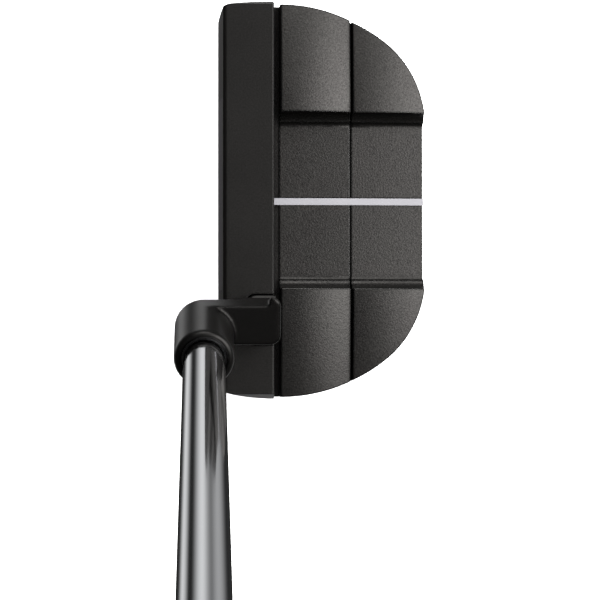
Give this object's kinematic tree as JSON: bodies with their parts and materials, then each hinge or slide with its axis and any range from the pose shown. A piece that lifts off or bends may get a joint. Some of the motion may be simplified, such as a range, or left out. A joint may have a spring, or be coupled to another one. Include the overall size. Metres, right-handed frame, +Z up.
{
  "type": "mallet putter",
  "caption": "Right-handed half-moon mallet putter with a cranked neck, tapered steel shaft and pistol grip, standing at address.",
  "frame": {"origin": "on the ground at the middle of the sole plate's flat, under the sight line", "axes": "+X away from the target (the face looks along -X), +Y from heel to toe, +Z up at address"},
  "size_m": [0.0723, 0.3818, 0.8384],
  "materials": {
    "black_steel": "fine bead-blasted black, satin",
    "black_aluminium": "coarse bead-blasted black anodise, satin",
    "insert_metal": "milled, dark grey",
    "insert_foam": "matte elastomer",
    "film": "adhesive film",
    "paint_fill": "satin pale lavender-grey paint",
    "sole_steel": "dark satin steel",
    "screw_steel": "oiled steel",
    "weight_steel": "turned steel",
    "black_rubber": "matte rubber",
    "black_chrome": "polished black chrome",
    "glue": "black epoxy",
    "plug_plastic": "moulded plug",
    "band": "plain printed band",
    "tape": "woven adhesive tape",
    "grip_foam": "foam underlisting",
    "grip_skin": "matte moulded rubber"
  },
  "bodies": {
    "root": {"face_bar": "black_steel", "rear_body": "black_aluminium", "sight_line": "paint_fill", "face_insert": "insert_metal", "insert_backing": "insert_foam", "insert_bond": "film", "bar_screws": "screw_steel", "hosel": "black_steel", "hosel_screw": "screw_steel", "sole_plate": "sole_steel", "sole_screws": "screw_steel", "damping_pad": "black_rubber", "heel_weight": "weight_steel", "toe_weight": "weight_steel", "weight_washers": "black_rubber", "shaft": "black_chrome", "shaft_bond": "glue", "shaft_plug": "plug_plastic", "shaft_band": "band", "grip_tape": "tape", "grip_core": "grip_foam", "grip_cover": "grip_skin", "grip_cap": "grip_skin"}
  },
  "joints": []
}
